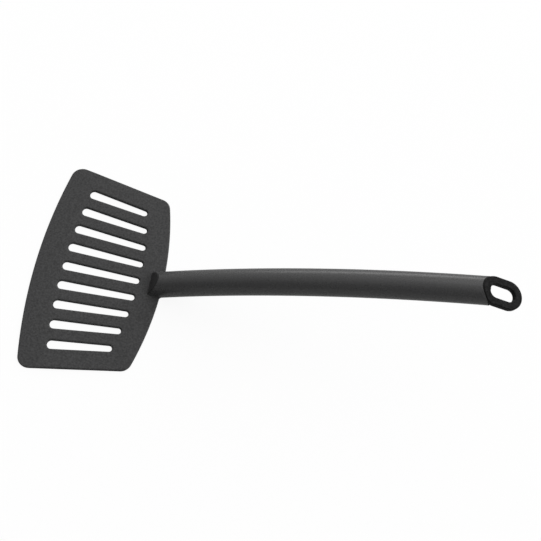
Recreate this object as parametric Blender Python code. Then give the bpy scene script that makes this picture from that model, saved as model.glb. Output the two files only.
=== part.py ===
"""Wide turner: a fan-shaped slotted blade, an arched hollow handle and a hanging eye.

Metres, +Z up. The blade lies flat on Z = 0 with its front edge towards -X, and everything is
symmetric about Y = 0. The origin is on the blade's underside, below the foot of the handle's nose.
A station is an arc length along the handle's centre line, counted from X = 0, and lift is a height
square to that line.
"""

import math

import bmesh
import bpy
from mathutils import Matrix, Vector

MM = 0.001

# Blade
BLADE_LENGTH = 91.7 * MM
BLADE_MID_WIDTH = 148.2 * MM
BLADE_THICKNESS = 2.0 * MM
BLADE_SIDE_ANGLE = math.radians(10.4)
BLADE_FRONT_RADIUS = 391.0 * MM
BLADE_REAR_RADIUS = 243.0 * MM
FRONT_CORNER_RADIUS = 8.4 * MM
REAR_CORNER_RADIUS = 8.3 * MM
REAR_EDGE = 9.3 * MM
LIP_THICKNESS = 1.1 * MM
LIP_LENGTH = 15.0 * MM
BLADE_EDGE_ROUND = 0.35 * MM

# Slots, fanned about a point behind the blade
SLOT_COUNT = 9
SLOT_PITCH = math.radians(2.11)
SLOT_FAN_CENTRE = 348.2 * MM
SLOT_FRONT_RADIUS = 3.25 * MM
SLOT_REAR_RADIUS = 2.35 * MM
SLOT_FRONT_MARGIN = 22.1 * MM
SLOT_REAR_MARGIN = 19.2 * MM

# Handle
HANDLE_RADIUS = 9.3 * MM
HANDLE_WALL = 2.2 * MM
HANDLE_LENGTH = 243.3 * MM
HANDLE_ARCH_RADIUS = 843.0 * MM
HANDLE_ROOT_SLOPE = math.radians(35.4)
HANDLE_ROOT_HEIGHT = -2.0 * MM
HANDLE_END_ROUND = 13.0 * MM

# Root of the blade: nose, heel and tang
NOSE_LEAN = math.radians(28.0)
NOSE_WALL = 1.0 * MM
HEEL_HALF_WIDTH = 8.0 * MM
HEEL_FILLET_RADIUS = 2.5 * MM
TANG_LENGTH = 62.0 * MM
TANG_SOLID_LENGTH = 24.0 * MM
TANG_BAYS = 2
RIB_THICKNESS = 2.4 * MM
COLLAR_LENGTH = 3.0 * MM

# Hanging eye
EYE_LENGTH = 28.8 * MM
EYE_WIDTH = 19.7 * MM
EYE_THICKNESS = 3.2 * MM
EYE_HOLE_LENGTH = 18.3 * MM
EYE_HOLE_WIDTH = 10.0 * MM
EYE_HOLE_SHIFT = 0.3 * MM
EYE_TILT = math.radians(32.7)
EYE_REACH = 8.2 * MM
EYE_DROP = 1.1 * MM
EYE_EDGE_ROUND = 0.8 * MM
CAP_WALL = 0.8 * MM
SPIGOT_LENGTH = 20.0 * MM
SPIGOT_BAYS = 1

# Clearance between pieces that touch
GAP = 0.3 * MM

# Facets
ARC_STEP = math.radians(15.0)
FLAT_ARC_STEP = math.radians(2.0)
END_ARC_STEP = math.radians(5.0)
TUBE_STEP = 9.0 * MM
TUBE_BEVEL_RESOLUTION = 16
EDGE_BEVEL_RESOLUTION = 1
LIP_CONE_SEGMENTS = 360
SHARP_EDGE_ANGLE = math.radians(50.0)
WELD_DISTANCE = 0.001 * MM

# How far cutters and uncut rods run past what is left of them
REACH = 60.0 * MM
ROOT_OVERRUN = 30.0 * MM
OVERRUN = 5.0 * MM

# Worked out from the sizes above
FRONT_EDGE = REAR_EDGE - BLADE_LENGTH
FRONT_CENTRE = Vector((FRONT_EDGE + BLADE_FRONT_RADIUS, 0.0))
REAR_CENTRE = Vector((REAR_EDGE - BLADE_REAR_RADIUS, 0.0))
BORE_RADIUS = HANDLE_RADIUS - HANDLE_WALL
TANG_RADIUS = BORE_RADIUS - GAP


# Scene

def clear_scene():
    for thing in list(bpy.data.objects):
        bpy.data.objects.remove(thing)


def new_collection(name):
    collection = bpy.data.collections.new(name)
    bpy.context.scene.collection.children.link(collection)
    return collection


def new_material(name, colour, roughness):
    made = bpy.data.materials.new(name)
    made.use_nodes = True
    shader = made.node_tree.nodes["Principled BSDF"]
    shader.inputs["Base Color"].default_value = (*colour, 1.0)
    shader.inputs["Roughness"].default_value = roughness
    shader.inputs["Metallic"].default_value = 0.0
    return made


def new_part(name, mesh, place, made_of):
    """A part with its origin at place, from a mesh in the model's coordinates."""
    mesh.transform(place.inverted())
    mesh.materials.clear()
    mesh.materials.append(made_of)
    part = bpy.data.objects.new(name, mesh)
    parts.objects.link(part)
    part.parent = turner
    part.matrix_world = place
    return part


def new_helper(name, mesh):
    """A cutter, or a shape to be joined to a part, that doesn't render."""
    helper = bpy.data.objects.new(name, mesh)
    helper.hide_render = True
    helper.display_type = "WIRE"
    helpers.objects.link(helper)
    return helper


def boolean(target, operation, helper):
    modifier = target.modifiers.new(f"{operation.lower()} {helper.name}", "BOOLEAN")
    modifier.operation = operation
    modifier.solver = "EXACT"
    modifier.object = helper


# Points of outlines

def arc(centre, radius, start, end, step=ARC_STEP):
    """Points of an arc between two angles, both ends included."""
    steps = max(2, math.ceil(abs(end - start) / step))
    angles = [start + (end - start) * i / steps for i in range(steps + 1)]
    return [Vector((centre.x + radius * math.cos(a), centre.y + radius * math.sin(a))) for a in angles]


def angle_of(vector):
    return math.atan2(vector.y, vector.x)


def meet_circle(start, direction, centre, radius, side):
    """Where a line meets a circle: side 1 is the crossing further along it, and side -1 the other."""
    away = start - centre
    along = away.dot(direction)
    half_chord = math.sqrt(along * along - away.length_squared + radius * radius)
    return start + direction * (side * half_chord - along)


def mirrored(points):
    """The points, then their mirror images across Y = 0 in reverse, as one closed outline."""
    return points + [Vector((p.x, -p.y)) for p in reversed(points)]


def blade_outline():
    """Rear edge with the heel behind it, corners, straight sides and front edge."""
    outward = Vector((math.sin(BLADE_SIDE_ANGLE), math.cos(BLADE_SIDE_ANGLE)))
    rearward = Vector((math.cos(BLADE_SIDE_ANGLE), -math.sin(BLADE_SIDE_ANGLE)))
    side_middle = Vector((REAR_EDGE - BLADE_LENGTH / 2, BLADE_MID_WIDTH / 2))
    front_corner = meet_circle(
        side_middle - outward * FRONT_CORNER_RADIUS, rearward,
        FRONT_CENTRE, BLADE_FRONT_RADIUS - FRONT_CORNER_RADIUS, -1,
    )
    rear_corner = meet_circle(
        side_middle - outward * REAR_CORNER_RADIUS, rearward,
        REAR_CENTRE, BLADE_REAR_RADIUS - REAR_CORNER_RADIUS, 1,
    )
    heel_fillet = meet_circle(
        Vector((0.0, HEEL_HALF_WIDTH + HEEL_FILLET_RADIUS)), Vector((1.0, 0.0)),
        REAR_CENTRE, BLADE_REAR_RADIUS + HEEL_FILLET_RADIUS, 1,
    )
    rear_start = angle_of(heel_fillet - REAR_CENTRE)
    rear_end = angle_of(rear_corner - REAR_CENTRE)
    side = angle_of(outward)
    front_start = angle_of(front_corner - FRONT_CENTRE)
    return mirrored(
        arc(heel_fillet, HEEL_FILLET_RADIUS, -math.pi / 2, rear_start - math.pi)
        + arc(REAR_CENTRE, BLADE_REAR_RADIUS, rear_start, rear_end, FLAT_ARC_STEP)[1:-1]
        + arc(rear_corner, REAR_CORNER_RADIUS, rear_end, side)
        + arc(front_corner, FRONT_CORNER_RADIUS, side, front_start)
        + arc(FRONT_CENTRE, BLADE_FRONT_RADIUS, front_start, math.pi, FLAT_ARC_STEP)[1:-1]
    )


def slot_outline(angle):
    """A slot on a ray from the fan's centre, round at both ends and narrower at the rear."""
    forward = Vector((-math.cos(angle), math.sin(angle)))
    fan_centre = Vector((SLOT_FAN_CENTRE, 0.0))
    front_radius = BLADE_FRONT_RADIUS - SLOT_FRONT_MARGIN
    rear_radius = BLADE_REAR_RADIUS - SLOT_REAR_MARGIN
    front = meet_circle(fan_centre, forward, FRONT_CENTRE, front_radius, 1)
    rear = meet_circle(fan_centre, forward, REAR_CENTRE, rear_radius, -1)
    taper = math.asin((SLOT_FRONT_RADIUS - SLOT_REAR_RADIUS) / (front - rear).length)
    ahead = angle_of(forward)
    quarter = math.pi / 2 + taper
    return (
        arc(front, SLOT_FRONT_RADIUS, ahead - quarter, ahead + quarter)
        + arc(rear, SLOT_REAR_RADIUS, ahead + quarter, ahead + 2 * math.pi - quarter)
    )


def stadium_outline(middle, length, width):
    """A straight-sided outline with half-round ends, along X."""
    radius = width / 2
    end = Vector((length / 2 - radius, 0.0))
    return (
        arc(middle + end, radius, -math.pi / 2, math.pi / 2)
        + arc(middle - end, radius, math.pi / 2, 3 * math.pi / 2)
    )


def rounded_end_outline(radius):
    """The handle's end seen from the side: a half disc, and a block behind it."""
    return (
        arc(Vector((0.0, 0.0)), radius, -math.pi / 2, math.pi / 2, END_ARC_STEP)
        + [Vector((-REACH, radius)), Vector((-REACH, -radius))]
    )


def past_end_outline(radius):
    """What lies past the handle's end, seen from the side."""
    corners = ((0.0, -REACH), (REACH, -REACH), (REACH, REACH), (0.0, REACH))
    return (
        arc(Vector((0.0, 0.0)), radius, math.pi / 2, -math.pi / 2, END_ARC_STEP)
        + [Vector(corner) for corner in corners]
    )


# Meshes

def mesh_from_curve(curve):
    """The curve's solid as a mesh with its caps welded on. The curve is removed."""
    holder = bpy.data.objects.new(curve.name, curve)
    bpy.context.scene.collection.objects.link(holder)
    evaluated = holder.evaluated_get(bpy.context.evaluated_depsgraph_get())
    mesh = bpy.data.meshes.new_from_object(evaluated)
    mesh.name = curve.name
    bpy.data.objects.remove(holder)
    bpy.data.curves.remove(curve)
    return edited(mesh, weld)


def edited(mesh, edit):
    """The mesh after an edit in bmesh."""
    work = bmesh.new()
    work.from_mesh(mesh)
    edit(work)
    work.to_mesh(mesh)
    work.free()
    return mesh


def weld(work):
    bmesh.ops.remove_doubles(work, verts=work.verts, dist=WELD_DISTANCE)
    bmesh.ops.recalc_face_normals(work, faces=work.faces)


def plate_mesh(name, outlines, thickness, edge_round=0.0):
    """A plate centred on Z = 0 from its outer outline and its holes, with all its edges rounded."""
    curve = bpy.data.curves.new(name, "CURVE")
    curve.dimensions = "2D"
    curve.fill_mode = "BOTH"
    curve.extrude = thickness / 2 - edge_round
    curve.bevel_depth = edge_round
    curve.bevel_resolution = EDGE_BEVEL_RESOLUTION
    curve.offset = -edge_round
    for outline in outlines:
        spline = curve.splines.new("POLY")
        spline.points.add(len(outline) - 1)
        for point, place in zip(spline.points, outline):
            point.co = (place.x, place.y, 0.0, 1.0)
        spline.use_cyclic_u = True
    return mesh_from_curve(curve)


def slope_at(station):
    return HANDLE_ROOT_SLOPE - station / HANDLE_ARCH_RADIUS


def handle_point(station):
    """The handle's centre line: an arc that flattens towards the eye."""
    slope = slope_at(station)
    return Vector((
        HANDLE_ARCH_RADIUS * (math.sin(HANDLE_ROOT_SLOPE) - math.sin(slope)),
        0.0,
        HANDLE_ROOT_HEIGHT + HANDLE_ARCH_RADIUS * (math.cos(slope) - math.cos(HANDLE_ROOT_SLOPE)),
    ))


def handle_frame(station):
    """A frame on the centre line, with X along it, Y across and Z square to it."""
    return Matrix.Translation(handle_point(station)) @ Matrix.Rotation(-slope_at(station), 4, "Y")


def rod_mesh(name, radius, start, end):
    """A round rod along the handle's centre line between two stations."""
    steps = math.ceil((end - start) / TUBE_STEP)
    curve = bpy.data.curves.new(name, "CURVE")
    curve.dimensions = "3D"
    curve.bevel_depth = radius
    curve.bevel_resolution = TUBE_BEVEL_RESOLUTION
    curve.use_fill_caps = True
    spline = curve.splines.new("POLY")
    spline.points.add(steps)
    for i, point in enumerate(spline.points):
        point.co = (*handle_point(start + (end - start) * i / steps), 1.0)
    return mesh_from_curve(curve)


def box_mesh(name, boxes):
    """Boxes, each from its low and high corners, in one mesh."""
    def add_boxes(work):
        for low, high in boxes:
            size = Vector(high) - Vector(low)
            middle = (Vector(low) + Vector(high)) / 2
            place = Matrix.Translation(middle) @ Matrix.Diagonal((*size, 1.0))
            bmesh.ops.create_cube(work, size=1.0, matrix=place)
    return edited(bpy.data.meshes.new(name), add_boxes)


# Cutters shared by the parts

def nose_frame():
    """A frame at the foot of the nose, with X square to its leaning face and into the handle."""
    return Matrix.Translation((0.0, 0.0, BLADE_THICKNESS)) @ Matrix.Rotation(NOSE_LEAN, 4, "Y")


def ahead_of_nose(distance):
    """A cutter for what lies ahead of a plane at this distance behind the nose's face."""
    box = ((-REACH, -REACH, -REACH), (distance, REACH, REACH))
    cutter = new_helper("ahead_of_nose", box_mesh("ahead_of_nose", [box]))
    cutter.matrix_world = nose_frame()
    return cutter


def below(height):
    """A cutter for what lies below a height at the handle's root."""
    box = ((-REACH, -REACH, height - REACH), (REACH, REACH, height))
    return new_helper("below_root", box_mesh("below_root", [box]))


def end_cutter(name, outline):
    """An outline in the handle's side view, drawn from the centre of its end round, as a cutter."""
    cutter = new_helper(name, plate_mesh(name, [outline], 2 * REACH))
    side_view = Matrix.Rotation(math.pi / 2, 4, "X")
    cutter.matrix_world = handle_frame(HANDLE_LENGTH - HANDLE_END_ROUND) @ side_view
    return cutter


def past_end(extra):
    """A cutter for what lies past the handle's end round, grown by extra."""
    return end_cutter("past_end", past_end_outline(HANDLE_END_ROUND + extra))


def within_end(extra):
    """A cutter for what lies within the handle's end round, grown by extra."""
    return end_cutter("within_end", rounded_end_outline(HANDLE_END_ROUND + extra))


def rib_pockets(name, start, end, bays):
    """A cutter that leaves a rod two crossed ribs in each bay, and a round collar after it."""
    bay_length = (end - start) / bays
    half_rib = RIB_THICKNESS / 2
    sides = ((-HANDLE_RADIUS, -half_rib), (half_rib, HANDLE_RADIUS))
    boxes = []
    for bay in range(bays):
        low = bay * bay_length - (end - start) / 2
        high = low + bay_length - COLLAR_LENGTH
        boxes += [((low, y0, z0), (high, y1, z1)) for y0, y1 in sides for z0, z1 in sides]
    cutter = new_helper(name, box_mesh(name, boxes))
    cutter.matrix_world = handle_frame((start + end) / 2)
    return cutter


# Blade

def front_lip():
    """A cone about the front edge's centre. The blade is thinned to what lies inside it."""
    slope = LIP_LENGTH / (BLADE_THICKNESS - LIP_THICKNESS)
    work = bmesh.new()
    bmesh.ops.create_cone(
        work, cap_ends=True, segments=LIP_CONE_SEGMENTS, depth=2 * OVERRUN,
        radius1=BLADE_FRONT_RADIUS + slope * OVERRUN, radius2=BLADE_FRONT_RADIUS - slope * OVERRUN,
    )
    mesh = bpy.data.meshes.new("front_lip")
    work.to_mesh(mesh)
    work.free()
    cone = new_helper("front_lip", mesh)
    cone.matrix_world = Matrix.Translation((FRONT_CENTRE.x, 0.0, LIP_THICKNESS))
    return cone


def behind_wall():
    """A cutter for what lies above the heel and behind the nose's wall."""
    foot = Vector((NOSE_WALL / math.cos(NOSE_LEAN), BLADE_THICKNESS))
    lean = Vector((math.sin(NOSE_LEAN), math.cos(NOSE_LEAN)))
    outline = [foot, Vector((REACH, BLADE_THICKNESS)), Vector((REACH, REACH)), foot + lean * REACH]
    cutter = new_helper("behind_wall", plate_mesh("behind_wall", [outline], 2 * REACH))
    cutter.matrix_world = Matrix.Rotation(math.pi / 2, 4, "X")
    return cutter


def root():
    """The foot of the handle's round: a leaning nose, and behind it a heel as thick as the blade."""
    foot = new_helper("root", rod_mesh("root", HANDLE_RADIUS, -ROOT_OVERRUN, ROOT_OVERRUN))
    boolean(foot, "DIFFERENCE", ahead_of_nose(0.0))
    boolean(foot, "DIFFERENCE", below(0.0))
    boolean(foot, "DIFFERENCE", behind_wall())
    return foot


def tang():
    """The core that runs into the handle: solid at the root, then crossed ribs with collars."""
    core = new_helper("tang", rod_mesh("tang", TANG_RADIUS, -ROOT_OVERRUN, TANG_LENGTH))
    pockets = rib_pockets("tang_pockets", TANG_SOLID_LENGTH, TANG_LENGTH, TANG_BAYS)
    boolean(core, "DIFFERENCE", ahead_of_nose(NOSE_WALL / 2))
    boolean(core, "DIFFERENCE", below(BLADE_THICKNESS / 4))
    boolean(core, "DIFFERENCE", pockets)
    return core


def make_blade(made_of):
    """The slotted plate, thinned to its front edge, in one piece with the root."""
    half_fan = (SLOT_COUNT - 1) / 2
    slots = [slot_outline((i - half_fan) * SLOT_PITCH) for i in range(SLOT_COUNT)]
    outlines = [blade_outline(), *slots]
    plate = plate_mesh("blade", outlines, BLADE_THICKNESS, BLADE_EDGE_ROUND)
    plate.transform(Matrix.Translation((0.0, 0.0, BLADE_THICKNESS / 2)))
    blade = new_part("blade", plate, Matrix.Identity(4), made_of)
    boolean(blade, "INTERSECT", front_lip())
    for joined in (root(), tang()):
        boolean(blade, "UNION", joined)
    return blade


# Handle

def make_handle(made_of):
    """An arched tube, seated on the blade behind the nose and rounded at the eye's end."""
    rod = rod_mesh("handle", HANDLE_RADIUS, -ROOT_OVERRUN, HANDLE_LENGTH + OVERRUN)
    seat = Matrix.Translation((0.0, 0.0, BLADE_THICKNESS + GAP))
    handle = new_part("handle", rod, seat, made_of)
    bore = new_helper("bore", rod_mesh("bore", BORE_RADIUS, -REACH, HANDLE_LENGTH + REACH))
    boolean(handle, "DIFFERENCE", bore)
    boolean(handle, "DIFFERENCE", ahead_of_nose(NOSE_WALL + GAP))
    boolean(handle, "DIFFERENCE", below(BLADE_THICKNESS + GAP))
    boolean(handle, "DIFFERENCE", past_end(0.0))
    return handle


# Hanging eye

def loop():
    """The flat loop, tilted down from the handle's line."""
    outer = stadium_outline(Vector((0.0, 0.0)), EYE_LENGTH, EYE_WIDTH)
    hole = stadium_outline(Vector((EYE_HOLE_SHIFT, 0.0)), EYE_HOLE_LENGTH, EYE_HOLE_WIDTH)
    plate = plate_mesh("loop", [outer, hole], EYE_THICKNESS, EYE_EDGE_ROUND)
    plate.transform(Matrix.Translation((0.0, 0.0, -EYE_THICKNESS / 2)))
    upper_face = Matrix.Translation((EYE_REACH, 0.0, -EYE_DROP)) @ Matrix.Rotation(EYE_TILT, 4, "Y")
    ring = new_helper("loop", plate)
    ring.matrix_world = handle_frame(HANDLE_LENGTH) @ upper_face
    boolean(ring, "DIFFERENCE", within_end(GAP))
    return ring


def spigot():
    """The plug inside the handle's end, with crossed ribs like the tang's."""
    start = HANDLE_LENGTH - SPIGOT_LENGTH
    plug = new_helper("spigot", rod_mesh("spigot", TANG_RADIUS, start, HANDLE_LENGTH + OVERRUN))
    ribs_start = start + COLLAR_LENGTH
    ribs_end = HANDLE_LENGTH - COLLAR_LENGTH
    boolean(plug, "DIFFERENCE", past_end(GAP + CAP_WALL / 2))
    boolean(plug, "DIFFERENCE", rib_pockets("spigot_pockets", ribs_start, ribs_end, SPIGOT_BAYS))
    return plug


def make_hanging_eye(made_of):
    """A rounded cap over the handle's end, with the spigot behind it and the loop ahead."""
    start = HANDLE_LENGTH - HANDLE_END_ROUND
    rod = rod_mesh("hanging_eye", HANDLE_RADIUS, start, HANDLE_LENGTH + OVERRUN)
    cap = new_part("hanging_eye", rod, handle_frame(HANDLE_LENGTH), made_of)
    boolean(cap, "DIFFERENCE", within_end(GAP))
    boolean(cap, "DIFFERENCE", past_end(GAP + CAP_WALL))
    boolean(cap, "UNION", spigot())
    boolean(cap, "UNION", loop())
    return cap


def smooth_rounds(part):
    part.data.shade_smooth()
    part.data.set_sharp_from_angle(angle=SHARP_EDGE_ANGLE)


clear_scene()
parts = new_collection("wide_turner")
helpers = new_collection("wide_turner_helpers")
turner = bpy.data.objects.new("turner", None)
parts.objects.link(turner)
matt_nylon = new_material("matt_nylon", (0.035, 0.035, 0.037), 0.6)
satin_nylon = new_material("satin_nylon", (0.03, 0.03, 0.032), 0.38)
for part in (make_blade(matt_nylon), make_handle(satin_nylon), make_hanging_eye(matt_nylon)):
    smooth_rounds(part)
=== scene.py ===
import math

import bmesh
import bpy
from mathutils import Matrix, Vector
from mathutils.geometry import delaunay_2d_cdt


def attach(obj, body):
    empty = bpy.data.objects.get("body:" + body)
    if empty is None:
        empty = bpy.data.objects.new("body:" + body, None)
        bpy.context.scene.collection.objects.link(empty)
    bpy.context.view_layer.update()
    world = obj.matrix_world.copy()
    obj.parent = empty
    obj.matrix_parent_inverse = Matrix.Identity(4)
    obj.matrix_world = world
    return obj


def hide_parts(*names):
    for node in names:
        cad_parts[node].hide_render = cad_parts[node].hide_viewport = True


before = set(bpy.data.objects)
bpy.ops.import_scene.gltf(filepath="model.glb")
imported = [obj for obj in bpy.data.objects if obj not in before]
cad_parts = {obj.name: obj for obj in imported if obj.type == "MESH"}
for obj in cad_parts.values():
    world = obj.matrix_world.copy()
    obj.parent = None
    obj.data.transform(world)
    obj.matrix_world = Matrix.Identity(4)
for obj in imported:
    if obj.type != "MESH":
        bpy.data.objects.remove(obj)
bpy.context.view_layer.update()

# Camera
# It looks steeply down on the turner from its near side, about 0.7 m off, so that the blade lies at
# the left and the grip runs level to the right.
camera = bpy.data.objects.new("camera", bpy.data.cameras.new("camera"))
bpy.context.scene.collection.objects.link(camera)
camera.data.sensor_width = 36.0
camera.data.lens = 66.54
camera.location = (0.0476, -0.2771, 0.6675)
camera.rotation_euler = (math.radians(23.81), math.radians(-7.664), math.radians(10.182))
bpy.context.scene.camera = camera


# Blade's plate
# The real one is a flat fan of matt black nylon, about 2 mm thick and thinner towards its front
# edge, with nine tapering slots. It is injection moulded in one piece with the root behind it.
MM = 0.001
BLADE_LENGTH = 91.7 * MM
BLADE_MID_WIDTH = 148.2 * MM
BLADE_THICKNESS = 2.0 * MM
BLADE_SIDE_ANGLE = math.radians(10.4)
BLADE_FRONT_RADIUS = 391.0 * MM
BLADE_REAR_RADIUS = 243.0 * MM
FRONT_CORNER_RADIUS = 8.4 * MM
REAR_CORNER_RADIUS = 8.3 * MM
REAR_EDGE = 9.3 * MM
HEEL_HALF_WIDTH = 8.0 * MM
HEEL_FILLET_RADIUS = 2.5 * MM
LIP_LENGTH = 15.0 * MM
LIP_FALL = 0.9 * MM
LIP_RADIUS = BLADE_FRONT_RADIUS - LIP_LENGTH
TOP_ROUND_SHARE = 0.55
UNDER_ROUND_SHARE = 0.08
SLOT_COUNT = 9
SLOT_POINTS = 64
SLOT_PITCH = math.radians(2.11)
SLOT_FAN_CENTRE = 348.2 * MM
SLOT_FRONT_MARGIN = 22.1 * MM
SLOT_REAR_MARGIN = 19.2 * MM
SLOT_FRONT_RADIUS = 3.25 * MM
SLOT_REAR_RADIUS = 2.35 * MM
SLOT_DRAFT = 0.2 * MM
EDGE_STEPS = 6
SAME_PLACE = 1e-6 * MM
TRIANGLES_INSIDE = 1
NYLON_IOR = 1.53
FLECK_TO_GRAIN = 2.4
PATCH_TO_GRAIN = 14.0
PATCH_ROUGHNESS = 0.04
FRONT_CENTRE = Vector((REAR_EDGE - BLADE_LENGTH + BLADE_FRONT_RADIUS, 0.0))
REAR_CENTRE = Vector((REAR_EDGE - BLADE_REAR_RADIUS, 0.0))


class Field:
    """A value in a node tree, whose arithmetic adds Math nodes to the tree."""

    def __init__(self, tree, socket):
        self.tree, self.socket = tree, socket

    def maths(self, operation, *others):
        return self.tree.add("ShaderNodeMath", {"operation": operation}, self, *others)

    def __add__(self, other):
        return self.maths("ADD", other)

    def __sub__(self, other):
        return self.maths("SUBTRACT", other)

    def __mul__(self, other):
        return self.maths("MULTIPLY", other)

    def __truediv__(self, other):
        return self.maths("DIVIDE", other)

    def sine(self):
        return self.maths("SINE")

    def cosine(self):
        return self.maths("COSINE")

    def root(self):
        return self.maths("SQRT")


class Recipe:
    """A Geometry Nodes tree under construction, with its sizes as named inputs."""

    def __init__(self, name):
        self.group = bpy.data.node_groups.new(name, "GeometryNodeTree")
        for way in ("INPUT", "OUTPUT"):
            self.group.interface.new_socket("Geometry", in_out=way, socket_type="NodeSocketGeometry")
        self.given = self.group.nodes.new("NodeGroupInput")

    def size(self, name, kind="Float"):
        self.group.interface.new_socket(name, in_out="INPUT", socket_type="NodeSocket" + kind)
        return Field(self, self.given.outputs[name])

    def add(self, kind, settings=None, *values, output=0, **named):
        """Adds a node with its settings and inputs, in order or by name, and gives an output."""
        node = self.group.nodes.new(kind)
        for setting, value in (settings or {}).items():
            setattr(node, setting, value)
        inputs = list(zip(node.inputs, values)) + [(node.inputs[n], v) for n, v in named.items()]
        for socket, value in inputs:
            if isinstance(value, Field):
                self.group.links.new(value.socket, socket)
            else:
                socket.default_value = value
        return Field(self, node.outputs[output])

    def point(self, x, y, z):
        return self.add("ShaderNodeCombineXYZ", None, x, y, z)

    def finish(self, shape):
        """Ends the tree with its instances made real and its material set."""
        shape = self.add("GeometryNodeRealizeInstances", None, shape)
        material = self.size("Material", "Material")
        shape = self.add("GeometryNodeSetMaterial", None, shape, Material=material)
        self.group.links.new(shape.socket, self.group.nodes.new("NodeGroupOutput").inputs[0])
        return self.group


def new_object(name, mesh):
    thing = bpy.data.objects.new(name, mesh)
    bpy.context.scene.collection.objects.link(thing)
    return thing


def made(name, work):
    """A new object from this work on a mesh."""
    mesh = bpy.data.meshes.new(name)
    work.to_mesh(mesh)
    work.free()
    return new_object(name, mesh)


def made_plain(thing, *helpers):
    """The object with its modifiers worked into its mesh, and their helpers removed."""
    evaluated = thing.evaluated_get(bpy.context.evaluated_depsgraph_get())
    mesh = bpy.data.meshes.new_from_object(evaluated)
    thing.modifiers.clear()
    thing.data = mesh
    for helper in helpers:
        bpy.data.objects.remove(helper)
    return thing


def grown(name, group, material, **sizes):
    """An object whose mesh a Geometry Nodes tree makes from these sizes."""
    thing = new_object(name, bpy.data.meshes.new(name))
    modifier = thing.modifiers.new(group.name, "NODES")
    modifier.node_group = group
    for socket in group.interface.items_tree:
        if socket.in_out == "INPUT" and socket.name == "Material":
            modifier[socket.identifier] = material
        elif socket.in_out == "INPUT" and socket.name in sizes:
            modifier[socket.identifier] = sizes[socket.name]
    return made_plain(thing)


def moulded_nylon(name, colour, mottle, roughness, gloss, grain, depth):
    """Black nylon with the mould's fine grain, flecks in its tone and patches in its gloss."""
    material = bpy.data.materials.new(name)
    material.use_nodes = True
    nodes, links = material.node_tree.nodes, material.node_tree.links
    shader = nodes["Principled BSDF"]
    place = nodes.new("ShaderNodeTexCoord")

    def noise(size, detail):
        node = nodes.new("ShaderNodeTexNoise")
        node.inputs["Scale"].default_value = 1.0 / size
        node.inputs["Detail"].default_value = detail
        links.new(place.outputs["Object"], node.inputs["Vector"])
        return node.outputs["Fac"]

    def spread(source, low, high):
        """The noise, which keeps mostly between 0.3 and 0.7, brought to this range."""
        node = nodes.new("ShaderNodeMapRange")
        node.inputs["From Min"].default_value = 0.3
        node.inputs["From Max"].default_value = 0.7
        node.inputs["To Min"].default_value = low
        node.inputs["To Max"].default_value = high
        links.new(source, node.inputs["Value"])
        return node.outputs["Result"]

    grains = noise(grain, 2.0)
    flecks = noise(FLECK_TO_GRAIN * grain, 4.0)
    patches = noise(PATCH_TO_GRAIN * grain, 3.0)
    tone = nodes.new("ShaderNodeMix")
    tone.data_type = "RGBA"
    links.new(spread(flecks, 0.0, 1.0), tone.inputs["Factor"])
    tone.inputs["A"].default_value = (*((1.0 - mottle) * c for c in colour), 1.0)
    tone.inputs["B"].default_value = (*((1.0 + mottle) * c for c in colour), 1.0)
    links.new(tone.outputs["Result"], shader.inputs["Base Color"])
    patches = spread(patches, roughness - PATCH_ROUGHNESS, roughness + PATCH_ROUGHNESS)
    links.new(patches, shader.inputs["Roughness"])
    bump = nodes.new("ShaderNodeBump")
    bump.inputs["Distance"].default_value = depth
    links.new(grains, bump.inputs["Height"])
    links.new(bump.outputs["Normal"], shader.inputs["Normal"])
    shader.inputs["IOR"].default_value = NYLON_IOR
    shader.inputs["Specular IOR Level"].default_value = gloss
    return material


def arc(centre, radius, start, end, step):
    """Points of an arc between two angles, both ends included."""
    steps = max(2, math.ceil(abs(end - start) / step))
    angles = [start + (end - start) * i / steps for i in range(steps + 1)]
    return [centre + radius * Vector((math.cos(a), math.sin(a))) for a in angles]


def angle_of(vector):
    return math.atan2(vector.y, vector.x)


def meet_circle(start, direction, centre, radius, side):
    """Where a line meets a circle: side 1 is the crossing further along it, -1 the other."""
    away = start - centre
    along = away.dot(direction)
    half_chord = math.sqrt(along * along - away.length_squared + radius * radius)
    return start + direction * (side * half_chord - along)


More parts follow.
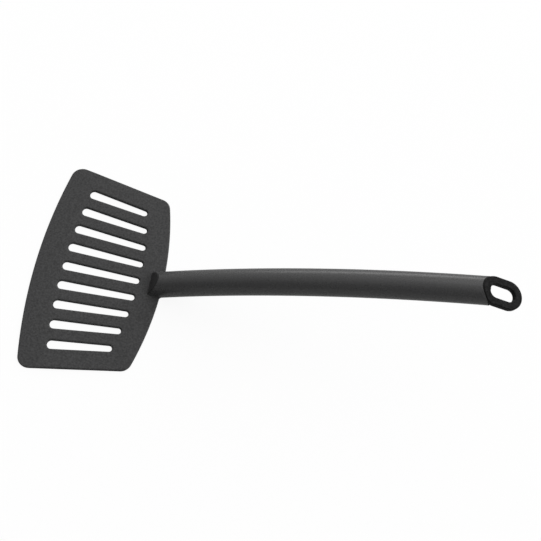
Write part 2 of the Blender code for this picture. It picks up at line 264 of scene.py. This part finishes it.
def blade_outline():
    """Half of the outline, from the heel to the middle of the front edge, then its mirror image."""
    corner_step, edge_step = math.radians(5.0), math.radians(0.25)
    outward = Vector((math.sin(BLADE_SIDE_ANGLE), math.cos(BLADE_SIDE_ANGLE)))
    rearward = Vector((math.cos(BLADE_SIDE_ANGLE), -math.sin(BLADE_SIDE_ANGLE)))
    side_middle = Vector((REAR_EDGE - BLADE_LENGTH / 2, BLADE_MID_WIDTH / 2))
    front_corner = meet_circle(
        side_middle - outward * FRONT_CORNER_RADIUS, rearward,
        FRONT_CENTRE, BLADE_FRONT_RADIUS - FRONT_CORNER_RADIUS, -1,
    )
    rear_corner = meet_circle(
        side_middle - outward * REAR_CORNER_RADIUS, rearward,
        REAR_CENTRE, BLADE_REAR_RADIUS - REAR_CORNER_RADIUS, 1,
    )
    heel_fillet = meet_circle(
        Vector((0.0, HEEL_HALF_WIDTH + HEEL_FILLET_RADIUS)), Vector((1.0, 0.0)),
        REAR_CENTRE, BLADE_REAR_RADIUS + HEEL_FILLET_RADIUS, 1,
    )
    lip_start = meet_circle(side_middle, rearward, FRONT_CENTRE, LIP_RADIUS, -1)
    rear_start = angle_of(heel_fillet - REAR_CENTRE)
    rear_end = angle_of(rear_corner - REAR_CENTRE)
    side = angle_of(outward)
    front_start = angle_of(front_corner - FRONT_CENTRE)
    half = (
        arc(heel_fillet, HEEL_FILLET_RADIUS, -math.pi / 2, rear_start - math.pi, 2 * corner_step)
        + arc(REAR_CENTRE, BLADE_REAR_RADIUS, rear_start, rear_end, edge_step)[1:-1]
        + arc(rear_corner, REAR_CORNER_RADIUS, rear_end, side, corner_step)
        + [lip_start]
        + arc(front_corner, FRONT_CORNER_RADIUS, side, front_start, corner_step)
        + arc(FRONT_CENTRE, BLADE_FRONT_RADIUS, front_start, math.pi, edge_step)[1:-1]
    )
    return half + [Vector((p.x, -p.y)) for p in reversed(half)]


def slot_fan():
    """The tree for the slots' outlines: each slot is on a ray from one point far behind the blade,
    and runs from an arc near the rear edge to an arc near the front edge, round at both ends."""
    recipe = Recipe("slot fan")
    count, points = recipe.size("Slots", "Int"), recipe.size("Points", "Int")
    pitch, fan = recipe.size("Pitch"), recipe.size("Fan Centre")
    front, front_reach = recipe.size("Front Centre"), recipe.size("Front Reach")
    rear, rear_reach = recipe.size("Rear Centre"), recipe.size("Rear Reach")
    front_radius, rear_radius = recipe.size("Front Radius"), recipe.size("Rear Radius")
    circle = recipe.add("GeometryNodeCurvePrimitiveCircle", None, points)
    copies = recipe.add("GeometryNodeDuplicateElements", {"domain": "SPLINE"}, circle, Amount=count)
    index = recipe.add("GeometryNodeInputIndex")
    number = (index / points).maths("FLOOR")
    turn = (index - number * points + 0.5) * (2 * math.pi) / points
    angle = (number - (count - 1.0) / 2.0) * pitch
    to_front, to_rear = fan - front, fan - rear
    sine, cosine = angle.sine(), angle.cosine()
    off_front, off_rear = to_front * sine, to_rear * sine
    front_end = to_front * cosine + (front_reach * front_reach - off_front * off_front).root()
    rear_end = to_rear * cosine - (rear_reach * rear_reach - off_rear * off_rear).root()
    ahead = turn.cosine().maths("GREATER_THAN", 0.0)
    radius = rear_radius + (front_radius - rear_radius) * ahead
    along = rear_end + (front_end - rear_end) * ahead + radius * turn.cosine()
    across = radius * turn.sine()
    place = recipe.point(fan - along * cosine - across * sine, along * sine - across * cosine, 0.0)
    outlines = recipe.add("GeometryNodeSetPosition", None, copies, Position=place)
    return recipe.finish(recipe.add("GeometryNodeCurveToMesh", None, outlines))


def turning(points):
    """Twice the area inside a closed outline, positive where it runs anticlockwise."""
    return sum(a.cross(b) for a, b in zip(points, points[1:] + points[:1]))


def inside(point, outline):
    """Whether a point lies inside a closed outline."""
    hit = False
    for a, b in zip(outline, outline[1:] + outline[:1]):
        if (a.y > point.y) != (b.y > point.y):
            hit ^= point.x < a.x + (b.x - a.x) * (point.y - a.y) / (b.y - a.y)
    return hit


def ways_out(outline):
    """The way out at each corner of an outline, longer at a sharp one to keep offset edges parallel."""
    ways = []
    for a, p, b in zip(outline[-1:] + outline[:-1], outline, outline[1:] + outline[:1]):
        normals = [Vector((d.y, -d.x)).normalized() for d in (p - a, b - p)]
        middle = (normals[0] + normals[1]).normalized()
        ways.append(middle / max(0.5, middle.dot(normals[0])))
    return ways


def rounded_edge(work, outline, height_at, top_share, under_share, draft):
    """The edge that stands on an outline, rounded above and below. Gives its top and bottom rims."""
    quarter = [math.radians(90.0 - 90.0 / EDGE_STEPS * i) for i in range(EDGE_STEPS + 1)]
    upper = [(a, top_share, 0.0, True) for a in quarter]
    lower = [(a, under_share, draft, False) for a in reversed(quarter)]
    ways = ways_out(outline)
    rings = []
    for a, share, outset, above_middle in upper + lower:
        ring = []
        for p, way in zip(outline, ways):
            height = height_at(p)
            place = p - way * (height * share * (1.0 - math.cos(a)) - outset)
            round_off = height * share * (1.0 - math.sin(a))
            ring.append(work.verts.new((*place, height - round_off if above_middle else round_off)))
        rings.append(ring)
    for above_ring, below_ring in zip(rings, rings[1:]):
        for i in range(len(outline)):
            work.faces.new((above_ring[i - 1], below_ring[i - 1], below_ring[i], above_ring[i]))
    return rings[0], rings[-1]


def filled(work, rims, height_at, creases, turned):
    """The face inside the first rim and outside the others, folded along the creases."""
    verts = [v for rim in rims for v in rim]
    holes = [[v.co.xy for v in rim] for rim in rims[1:]]
    points = [v.co.xy for v in verts]
    edges, count = [], 0
    for rim in rims:
        edges += [(count + (i - 1) % len(rim), count + i) for i in range(len(rim))]
        count += len(rim)
    for crease in creases:
        first, last = (
            min(range(count), key=lambda i: (points[i] - end).length) for end in (crease[0], crease[-1])
        )
        chain = [first, *range(len(points), len(points) + len(crease) - 2), last]
        points += crease[1:-1]
        edges += list(zip(chain, chain[1:]))
    places, _, triangles, sources, _, _ = delaunay_2d_cdt(
        points, edges, [], TRIANGLES_INSIDE, SAME_PLACE
    )
    corners = []
    for place, source in zip(places, sources):
        on_rim = source and source[0] < count
        corners.append(verts[source[0]] if on_rim else work.verts.new((*place, height_at(place))))
    for triangle in triangles:
        middle = sum((places[i] for i in triangle), Vector((0.0, 0.0))) / 3
        if not any(inside(middle, hole) for hole in holes):
            face = [corners[i] for i in triangle]
            work.faces.new(face[::-1] if turned else face)


def moulded_plate(name, outlines, height_at, top_share, under_share, draft=0.0, creases=()):
    """A plate on Z = 0 from its outer outline and its holes'. Its top is at the height that
    height_at gives, and folds along the creases. Its edges are rounded by these shares of that
    height, and the draft makes its holes narrower at the underside."""
    work = bmesh.new()
    rims = []
    for number, outline in enumerate(outlines):
        if (turning(outline) > 0) != (number == 0):
            outline = outline[::-1]
        hole_draft = draft if number else 0.0
        rims.append(rounded_edge(work, outline, height_at, top_share, under_share, hole_draft))
    filled(work, [top for top, under in rims], height_at, creases, False)
    filled(work, [under for top, under in rims], height_at, (), True)
    return made(name, work)


def blade_top(point):
    """The top of the blade, which falls towards the front edge over the lip."""
    beyond = (Vector(point[:2]) - FRONT_CENTRE).length - LIP_RADIUS
    return BLADE_THICKNESS - LIP_FALL * max(0.0, beyond) / LIP_LENGTH


blade_nylon = moulded_nylon(
    "blade_nylon", colour=(0.0375, 0.0375, 0.038), mottle=0.35, roughness=0.55, gloss=0.2,
    grain=0.5 * MM, depth=0.06 * MM,
)
slots = grown(
    "slots", slot_fan(), blade_nylon,
    **{
        "Slots": SLOT_COUNT, "Points": SLOT_POINTS, "Pitch": SLOT_PITCH, "Fan Centre": SLOT_FAN_CENTRE,
        "Front Centre": FRONT_CENTRE.x, "Front Reach": BLADE_FRONT_RADIUS - SLOT_FRONT_MARGIN,
        "Rear Centre": REAR_CENTRE.x, "Rear Reach": BLADE_REAR_RADIUS - SLOT_REAR_MARGIN,
        "Front Radius": SLOT_FRONT_RADIUS, "Rear Radius": SLOT_REAR_RADIUS,
    },
)
around = [v.co.xy for v in slots.data.vertices]
slot_outlines = [around[i:i + SLOT_POINTS] for i in range(0, len(around), SLOT_POINTS)]
bpy.data.objects.remove(slots)
outline = blade_outline()
lip_end = min(outline, key=lambda p: (p.y < 0, abs((p - FRONT_CENTRE).length - LIP_RADIUS)))
lip_angle = angle_of(lip_end - FRONT_CENTRE)
lip = arc(FRONT_CENTRE, LIP_RADIUS, lip_angle, 2 * math.pi - lip_angle, math.radians(0.5))
blade = moulded_plate(
    "slotted_blade", [outline, *slot_outlines], blade_top,
    TOP_ROUND_SHARE, UNDER_ROUND_SHARE, SLOT_DRAFT, [lip],
)


# Root of the blade
# A leaning nose that closes the grip's lower end, a heel under it as thick as the blade, and a
# tang that runs up inside the grip: solid at first, then two crossed ribs with round collars.
# They are moulded in one with the plate, so all of them are joined into it here.
GRIP_RADIUS = 9.3 * MM
GRIP_WALL = 2.2 * MM
GRIP_LENGTH = 243.3 * MM
GRIP_FACETS = 96
GRIP_LINE = {
    "Arch Radius": 843.0 * MM, "Root Slope": math.radians(35.4), "Root Height": -2.0 * MM,
}
NOSE_LEAN = math.radians(25.0)
NOSE_WALL = 0.4 * MM
NOSE_ROUND = 0.4 * MM
NOSE_LEAST_ROUND_SHARE = 0.1
NOSE_RINGS = 8
SEAM = 0.12 * MM
HEEL_START = 3.0 * MM
FLUSH = 0.01 * MM
TANG_LENGTH = 62.0 * MM
TANG_SOLID_LENGTH = 24.0 * MM
CLEARANCE = 0.3 * MM
TANG_RADIUS = GRIP_RADIUS - GRIP_WALL - CLEARANCE
TANG_BAYS = 2
RIB = 2.4 * MM
COLLAR = 3.0 * MM
POCKET_REACH = 9.0 * MM
ROD_START = -30.0 * MM
ROD_STEP = 2.0 * MM
CUT_REACH = 60.0 * MM
SLIVER = 0.001 * MM
SHARP_ANGLE = math.radians(32.0)
NOSE_FACE = Matrix.Translation((0.0, 0.0, BLADE_THICKNESS)) @ Matrix.Rotation(NOSE_LEAN, 4, "Y")


def rod_along_grip():
    """The tree for a rod on the grip's line, an arc that rises from the blade and flattens."""
    recipe = Recipe("rod along the grip")
    radius, start, end = recipe.size("Radius"), recipe.size("Start"), recipe.size("End")
    arch, root = recipe.size("Arch Radius"), recipe.size("Root Slope")
    height = recipe.size("Root Height")
    steps, facets = recipe.size("Steps", "Int"), recipe.size("Facets", "Int")
    line = recipe.add("GeometryNodeCurvePrimitiveLine")
    line = recipe.add("GeometryNodeResampleCurve", None, line, Count=steps)
    station = start + (end - start) * recipe.add("GeometryNodeSplineParameter")
    slope = root - station / arch
    place = recipe.point(
        arch * (root.sine() - slope.sine()), 0.0, height + arch * (slope.cosine() - root.cosine())
    )
    line = recipe.add("GeometryNodeSetPosition", None, line, Position=place)
    line = recipe.add("GeometryNodeSetCurveNormal", {"mode": "Z_UP"}, line)
    section = recipe.add("GeometryNodeCurvePrimitiveCircle", None, facets, Radius=radius)
    rod = recipe.add("GeometryNodeCurveToMesh", None, line, section)
    rod.socket.node.inputs["Fill Caps"].default_value = True
    return recipe.finish(rod)


def rib_pockets():
    """The tree for the blocks cut out of a rod to leave crossed ribs: four round it in each bay."""
    recipe = Recipe("rib pockets")
    bays, length, collar = recipe.size("Bays", "Int"), recipe.size("Length"), recipe.size("Collar")
    rib, reach = recipe.size("Rib"), recipe.size("Reach")
    index = recipe.add("GeometryNodeInputIndex")
    bay = (index / 4.0).maths("FLOOR")
    quarter = index - bay * 4.0
    upper = quarter.maths("GREATER_THAN", 1.5) * 2.0 - 1.0
    nearer = (quarter / 2.0).maths("FRACT").maths("GREATER_THAN", 0.25) * 2.0 - 1.0
    bay_length = length / bays
    size = bay_length - collar
    away = (rib + reach) / 2.0
    place = recipe.point(bay * bay_length + size / 2.0 - length / 2.0, nearer * away, upper * away)
    points = recipe.add("GeometryNodePoints", None, bays * 4.0, place)
    block = recipe.add("GeometryNodeMeshCube", None, recipe.point(size, reach, reach))
    return recipe.finish(recipe.add("GeometryNodeInstanceOnPoints", None, points, Instance=block))


def grip_frame(station):
    """A frame on the grip's line, with X along it, Y across and Z square to it."""
    arch, root, height = GRIP_LINE.values()
    slope = root - station / arch
    place = Vector((
        arch * (math.sin(root) - math.sin(slope)), 0.0,
        height + arch * (math.cos(slope) - math.cos(root)),
    ))
    return Matrix.Translation(place) @ Matrix.Rotation(-slope, 4, "Y")


def rod(name, radius, start, end):
    """A round rod on the grip's line, between two stations along it."""
    steps = math.ceil((end - start) / ROD_STEP) + 1
    sizes = {"Radius": radius, "Start": start, "End": end, "Steps": steps, "Facets": GRIP_FACETS}
    return grown(name, grip_rod, blade_nylon, **sizes, **GRIP_LINE)


def block(low, high, place=Matrix.Identity(4)):
    """A box between two corners, in its own frame, to cut with."""
    work = bmesh.new()
    size, middle = Vector(high) - Vector(low), (Vector(high) + Vector(low)) / 2
    fit = place @ Matrix.Translation(middle) @ Matrix.Diagonal((*size, 1.0))
    bmesh.ops.create_cube(work, size=1.0, matrix=fit)
    return made("block", work)


def joined(thing, operation, *others):
    """The object cut by others, or joined with them, one after another. The others are used up."""
    for other in others:
        modifier = thing.modifiers.new(other.name, "BOOLEAN")
        modifier.operation = operation
        modifier.object = other
    return made_plain(thing, *others)


def ahead_of_nose(distance):
    """What lies ahead of a plane at this distance behind the nose's leaning face."""
    return block((-CUT_REACH, -CUT_REACH, -CUT_REACH), (distance, CUT_REACH, CUT_REACH), NOSE_FACE)


def below(height):
    """What lies below this height."""
    return block((-CUT_REACH, -CUT_REACH, height - CUT_REACH), (CUT_REACH, CUT_REACH, height))


def above(height):
    """What lies above this height."""
    return block((-CUT_REACH, -CUT_REACH, height), (CUT_REACH, CUT_REACH, height + CUT_REACH))


def on_nose(depth, radius, turn):
    """Where a line along the grip, at this radius and turn from its top, is this deep in the nose."""
    backward = NOSE_FACE.to_3x3() @ Vector((1.0, 0.0, 0.0))
    near, far = -CUT_REACH, CUT_REACH
    while far - near > SAME_PLACE:
        station = (near + far) / 2
        place = grip_frame(station) @ Vector((0.0, radius * math.sin(turn), radius * math.cos(turn)))
        if (place - NOSE_FACE.translation).dot(backward) > depth:
            far = station
        else:
            near = station
    return place


def nose_slab():
    """A leaning slice of the grip's round shape, whose front edge softens towards its top."""
    work = bmesh.new()
    rings = []
    for step in range(NOSE_RINGS):
        depth = NOSE_WALL * (step / (NOSE_RINGS - 1)) ** 2
        ring = []
        for i in range(GRIP_FACETS):
            turn = math.radians(360.0 / GRIP_FACETS * i)
            soft = NOSE_ROUND * max(NOSE_LEAST_ROUND_SHARE, math.cos(turn))
            short = max(0.0, 1.0 - depth / soft)
            radius = GRIP_RADIUS - soft * (1.0 - math.sqrt(1.0 - short * short))
            ring.append(work.verts.new(on_nose(depth, radius, turn)))
        rings.append(ring)
    work.faces.new(rings[0])
    work.faces.new(rings[-1])
    for front, back in zip(rings, rings[1:]):
        for i in range(len(front)):
            work.faces.new((front[i - 1], front[i], back[i], back[i - 1]))
    bmesh.ops.recalc_face_normals(work, faces=work.faces)
    return made("nose", work)


def pockets(start, end, bays):
    """What is cut from a rod between two stations to leave crossed ribs in this many bays."""
    sizes = {"Bays": bays, "Length": end - start, "Collar": COLLAR, "Rib": RIB, "Reach": POCKET_REACH}
    cutter = grown("pockets", pocket_blocks, blade_nylon, **sizes)
    cutter.data.transform(grip_frame((start + end) / 2))
    return cutter


grip_rod, pocket_blocks = rod_along_grip(), rib_pockets()
heel = joined(
    rod("heel", GRIP_RADIUS, ROD_START, CUT_REACH), "DIFFERENCE",
    ahead_of_nose(HEEL_START), below(FLUSH), above(BLADE_THICKNESS - FLUSH),
)
nose = joined(nose_slab(), "DIFFERENCE", below(BLADE_THICKNESS / 2))
tang = joined(
    rod("tang", TANG_RADIUS, ROD_START, TANG_LENGTH), "DIFFERENCE",
    ahead_of_nose(NOSE_WALL / 2), below(BLADE_THICKNESS / 4),
    pockets(TANG_SOLID_LENGTH, TANG_LENGTH, TANG_BAYS),
)
joined(blade, "UNION", heel, nose, tang)


def cleaned(mesh):
    """Takes out the slivers that joining and cutting leave in a mesh."""
    work = bmesh.new()
    work.from_mesh(mesh)
    bmesh.ops.dissolve_degenerate(work, dist=SLIVER, edges=work.edges)
    bmesh.ops.triangulate(work, faces=[f for f in work.faces if len(f.verts) > 4])
    work.to_mesh(mesh)
    work.free()


def finished(piece, material, slot_name, *nodes):
    """Cleans the piece, smooths it between its sharp edges, gives it its material, lets it ride."""
    cleaned(piece.data)
    piece.data.materials.clear()
    piece.data.materials.append(material)
    piece.data.shade_smooth()
    piece.data.set_sharp_from_angle(angle=SHARP_ANGLE)
    modifier = piece.modifiers.new("even normals", "WEIGHTED_NORMAL")
    modifier.keep_sharp = True
    made_plain(piece)
    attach(piece, "root")
    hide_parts(*nodes)


finished(blade, blade_nylon, "matt_nylon", "blade")


# Grip
# The handle is a hollow arched tube of smoother, satin nylon. It is pushed over the tang until it
# sits on the heel behind the nose, and its far end is rounded to take the cap of the eye.
END_ROUND = 13.0 * MM
ROD_END = GRIP_LENGTH + 5.0 * MM
GRIP_EDGE_ROUND = 0.12 * MM


def end_cutter(name, radius, past):
    """What lies past the grip's rounded end, or within it, as a block across the grip."""
    corners = ((-CUT_REACH, radius), (-CUT_REACH, -radius))
    if past:
        corners = ((0.0, -CUT_REACH), (CUT_REACH, -CUT_REACH), (CUT_REACH, CUT_REACH), (0.0, CUT_REACH))
    turn = (math.pi / 2, -math.pi / 2) if past else (-math.pi / 2, math.pi / 2)
    side_view = arc(Vector((0.0, 0.0)), radius, *turn, math.radians(2.0))
    side_view += [Vector(corner) for corner in corners]
    work = bmesh.new()
    near = [work.verts.new((p.x, -CUT_REACH, p.y)) for p in side_view]
    far = [work.verts.new((p.x, CUT_REACH, p.y)) for p in side_view]
    work.faces.new(near)
    work.faces.new(far[::-1])
    for i in range(len(near)):
        work.faces.new((near[i], near[i - 1], far[i - 1], far[i]))
    bmesh.ops.recalc_face_normals(work, faces=work.faces)
    cutter = made(name, work)
    cutter.data.transform(grip_frame(GRIP_LENGTH - END_ROUND))
    return cutter


def rounded(piece, width):
    """The piece with its sharp edges rounded."""
    modifier = piece.modifiers.new("rounded edges", "BEVEL")
    modifier.width = width
    modifier.segments = 3
    modifier.limit_method = "ANGLE"
    modifier.angle_limit = math.radians(40.0)
    return made_plain(piece)


grip_nylon = moulded_nylon(
    "grip_nylon", colour=(0.055, 0.055, 0.0555), mottle=0.2, roughness=0.28, gloss=0.5,
    grain=0.35 * MM, depth=0.02 * MM,
)
grip = joined(
    rod("satin_grip", GRIP_RADIUS, ROD_START, ROD_END), "DIFFERENCE",
    rod("bore", GRIP_RADIUS - GRIP_WALL, -CUT_REACH, GRIP_LENGTH + CUT_REACH),
    ahead_of_nose(NOSE_WALL + SEAM), below(BLADE_THICKNESS + CLEARANCE),
    end_cutter("past_end", END_ROUND, True),
)
rounded(grip, GRIP_EDGE_ROUND)
finished(grip, grip_nylon, "satin_nylon", "handle")


# Hanging eye
# A thin cap closes the grip's rounded end, with a ribbed spigot behind it in the grip and a flat
# loop ahead of it, tilted down. It is one moulding of matt nylon, darker and more coarsely grained
# than the blade's, and is plugged into the grip.
EYE_LENGTH = 29.1 * MM
EYE_WIDTH = 19.7 * MM
EYE_THICKNESS = 3.9 * MM
EYE_HOLE_LENGTH = 17.9 * MM
EYE_HOLE_WIDTH = 9.3 * MM
EYE_HOLE_SHIFT = 0.4 * MM
EYE_TILT = math.radians(32.7)
EYE_REACH = 8.4 * MM
EYE_DROP = 1.1 * MM
EYE_ROUND_SHARE = 0.2
CAP_WALL = 0.8 * MM
SPIGOT_LENGTH = 20.0 * MM
SPIGOT_BAYS = 1


def stadium(middle, length, width):
    """A straight-sided outline with half-round ends, along X."""
    step, radius = math.radians(5.0), width / 2
    end = Vector((length / 2 - radius, 0.0))
    middle = Vector((middle, 0.0))
    return (
        arc(middle + end, radius, -math.pi / 2, math.pi / 2, step)
        + arc(middle - end, radius, math.pi / 2, 3 * math.pi / 2, step)
    )


eye_nylon = moulded_nylon(
    "eye_nylon", colour=(0.0065, 0.0065, 0.0067), mottle=0.8, roughness=0.6, gloss=0.14,
    grain=0.9 * MM, depth=0.3 * MM,
)
loop = moulded_plate(
    "loop",
    [stadium(0.0, EYE_LENGTH, EYE_WIDTH), stadium(EYE_HOLE_SHIFT, EYE_HOLE_LENGTH, EYE_HOLE_WIDTH)],
    lambda point: EYE_THICKNESS, EYE_ROUND_SHARE, EYE_ROUND_SHARE,
)
upper_face = Matrix.Translation((EYE_REACH, 0.0, -EYE_DROP)) @ Matrix.Rotation(EYE_TILT, 4, "Y")
loop.data.transform(
    grip_frame(GRIP_LENGTH) @ upper_face @ Matrix.Translation((0.0, 0.0, -EYE_THICKNESS))
)
joined(loop, "DIFFERENCE", end_cutter("within_end", END_ROUND + SEAM, False))
spigot_start = GRIP_LENGTH - SPIGOT_LENGTH
spigot = joined(
    rod("spigot", TANG_RADIUS, spigot_start, ROD_END), "DIFFERENCE",
    end_cutter("past_end", END_ROUND + SEAM + CAP_WALL / 2, True),
    pockets(spigot_start + COLLAR, GRIP_LENGTH - COLLAR, SPIGOT_BAYS),
)
eye = joined(
    rod("hanging_loop", GRIP_RADIUS, GRIP_LENGTH - END_ROUND, ROD_END), "DIFFERENCE",
    end_cutter("within_end", END_ROUND + SEAM, False),
    end_cutter("past_end", END_ROUND + SEAM + CAP_WALL, True),
)
joined(eye, "UNION", spigot, loop)
finished(eye, eye_nylon, "matt_nylon", "hanging_eye")


# Studio
# A pale floor that keeps the turner's faint shadow, a surround that is brightest behind the turner
# and to its right, and two softboxes, above and behind it. The camera sees the background white.
FLOOR_HALF_SIZE = 3.0
FLOOR_SEEN = 0.8
FLOOR_SEEN_GLOW = 0.9
FLOOR_MIRRORED_GLOW = 0.1
FLOOR_BOUNCE = 0.3
TURNER_MIDDLE = Vector((0.08, 0.0, 0.05))


def maths(nodes, operation, *values):
    """The result of a Math node on sockets and numbers."""
    node = nodes.new("ShaderNodeMath")
    node.operation = operation
    for socket, value in zip(node.inputs, values):
        if isinstance(value, bpy.types.NodeSocket):
            nodes.id_data.links.new(value, socket)
        else:
            socket.default_value = value
    return node.outputs[0]


def rising(nodes, toward, least, rise):
    """The strength of a surround that is least away from a direction and rises towards it."""
    dot = nodes.new("ShaderNodeVectorMath")
    dot.operation = "DOT_PRODUCT"
    dot.inputs[1].default_value = Vector(toward).normalized()
    nodes.id_data.links.new(nodes.new("ShaderNodeTexCoord").outputs["Generated"], dot.inputs[0])
    along = maths(nodes, "MAXIMUM", dot.outputs["Value"], 0.0)
    return maths(nodes, "MULTIPLY_ADD", along, rise, least)


work = bmesh.new()
bmesh.ops.create_grid(work, size=FLOOR_HALF_SIZE)
floor = made("floor", work)
pale = bpy.data.materials.new("pale_floor")
pale.use_nodes = True
nodes, links = pale.node_tree.nodes, pale.node_tree.links
nodes["Principled BSDF"].inputs["Roughness"].default_value = 0.9
rays = nodes.new("ShaderNodeLightPath").outputs
paper = nodes.new("ShaderNodeMix")
paper.data_type = "RGBA"
links.new(rays["Is Camera Ray"], paper.inputs["Factor"])
paper.inputs["A"].default_value = (FLOOR_BOUNCE, FLOOR_BOUNCE, FLOOR_BOUNCE, 1.0)
paper.inputs["B"].default_value = (FLOOR_SEEN, FLOOR_SEEN, FLOOR_SEEN, 1.0)
links.new(paper.outputs["Result"], nodes["Principled BSDF"].inputs["Base Color"])
seen = maths(nodes, "MULTIPLY", rays["Is Camera Ray"], FLOOR_SEEN_GLOW)
mirrored = maths(nodes, "MAXIMUM", rays["Is Glossy Ray"], rays["Is Transmission Ray"])
mirrored = maths(nodes, "MULTIPLY", mirrored, FLOOR_MIRRORED_GLOW)
glow = nodes.new("ShaderNodeEmission")
mix = nodes.new("ShaderNodeMixShader")
links.new(maths(nodes, "MAXIMUM", seen, mirrored), mix.inputs[0])
links.new(nodes["Principled BSDF"].outputs[0], mix.inputs[1])
links.new(glow.outputs[0], mix.inputs[2])
links.new(mix.outputs[0], nodes["Material Output"].inputs["Surface"])
floor.data.materials.append(pale)

world = bpy.data.worlds.new("surround")
bpy.context.scene.world = world
world.use_nodes = True
nodes, links = world.node_tree.nodes, world.node_tree.links
rays = nodes.new("ShaderNodeLightPath").outputs
light = rising(nodes, toward=(1.0, 0.6, 0.5), least=0.0, rise=3.05)
mirrored = rising(nodes, toward=(0.0, 1.0, 1.0), least=0.23, rise=0.64)
direct = maths(nodes, "MAXIMUM", rays["Is Camera Ray"], rays["Is Transmission Ray"])
hidden = maths(nodes, "SUBTRACT", 1.0, maths(nodes, "MAXIMUM", direct, rays["Is Glossy Ray"]))
strength = maths(nodes, "MULTIPLY_ADD", light, hidden, direct)
strength = maths(nodes, "MULTIPLY_ADD", mirrored, rays["Is Glossy Ray"], strength)
nodes["Background"].inputs["Color"].default_value = (1.0, 1.0, 1.0, 1.0)
links.new(strength, nodes["Background"].inputs["Strength"])


def softbox(name, place, size, power):
    """A softbox that faces the middle of the turner."""
    lamp = bpy.data.lights.new(name, "AREA")
    lamp.shape = "RECTANGLE"
    lamp.size, lamp.size_y = size
    lamp.energy = power
    box = bpy.data.objects.new(name, lamp)
    bpy.context.scene.collection.objects.link(box)
    box.location = place
    box.rotation_euler = (TURNER_MIDDLE - Vector(place)).to_track_quat("-Z", "Y").to_euler()


softbox("overhead", place=(-0.08, 0.6, 1.2), size=(0.8, 0.8), power=0.7)
softbox("behind", place=(0.1, 1.4, 0.35), size=(1.8, 0.5), power=4.7)

bpy.context.scene.view_settings.view_transform = "Standard"
